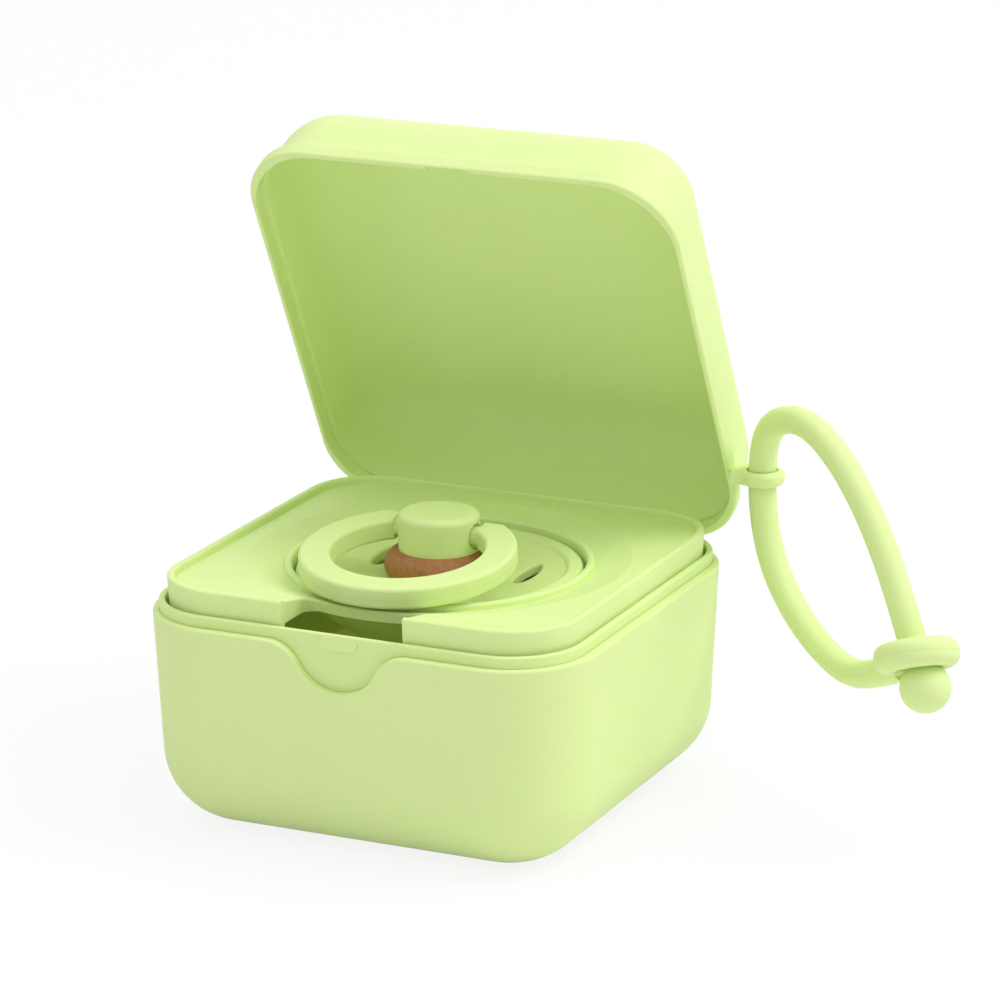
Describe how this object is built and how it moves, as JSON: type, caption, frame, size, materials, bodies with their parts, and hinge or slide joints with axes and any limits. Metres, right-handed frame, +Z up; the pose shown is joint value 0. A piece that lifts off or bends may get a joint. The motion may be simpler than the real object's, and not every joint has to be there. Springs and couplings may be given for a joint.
{
  "type": "pacifier case",
  "caption": "Square pacifier case with a hinged lid, a lift-out tray that holds a round-shield pacifier with a ring handle, a thumb scoop, and a strap loop in the lid's eyelet.",
  "frame": {"origin": "middle of the base's flat underside", "axes": "+Z up, -Y towards the thumb scoop in front, +Y towards the hinge, +X towards the strap eyelet"},
  "size_m": [0.1173, 0.0838, 0.1009],
  "materials": {
    "shell_plastic": "fine matte moulding",
    "liner_plastic": "fine matte moulding",
    "pin_steel": "ground",
    "tray_plastic": "fine matte moulding",
    "lid_plastic": "fine matte moulding",
    "shield_plastic": "fine matte moulding",
    "nipple_rubber": "matte natural rubber",
    "button_plastic": "fine matte moulding",
    "handle_plastic": "fine matte moulding",
    "strap_silicone": "matte silicone"
  },
  "bodies": {
    "base": {"base_shell": "shell_plastic", "base_liner": "liner_plastic", "hinge_pin": "pin_steel"},
    "lid": {"lid": "lid_plastic"},
    "tray": {"insert_tray": "tray_plastic"},
    "pacifier": {"pacifier_shield": "shield_plastic", "pacifier_nipple": "nipple_rubber", "pacifier_button": "button_plastic"},
    "handle": {"pacifier_handle": "handle_plastic"},
    "strap": {"strap_cord": "strap_silicone", "strap_ring": "strap_silicone", "strap_ball": "strap_silicone"}
  },
  "joints": [
    {"name": "lid_hinge", "type": "hinge", "parent": "base", "child": "lid", "pos_m": [0, 0.0358, 0.0334], "axis": [-1, 0, 0], "range_deg": [-63.1, 45]},
    {"name": "tray_lift", "type": "slide", "parent": "base", "child": "tray", "axis": [0, 0, 1], "range_m": [0, 0.028]},
    {"name": "pacifier_lift", "type": "slide", "parent": "tray", "child": "pacifier", "axis": [0, 0, 1], "range_m": [0, 0.03]},
    {"name": "handle_pivot", "type": "hinge", "parent": "pacifier", "child": "handle", "pos_m": [0, 0, 0.0415], "axis": [-1, 0, 0], "range_deg": [0, 168]},
    {"name": "strap_swing", "type": "hinge", "parent": "lid", "child": "strap", "pos_m": [0.0406, 0.03058, 0.04679], "axis": [0, 0, -1], "range_deg": [-80, 25]}
  ]
}
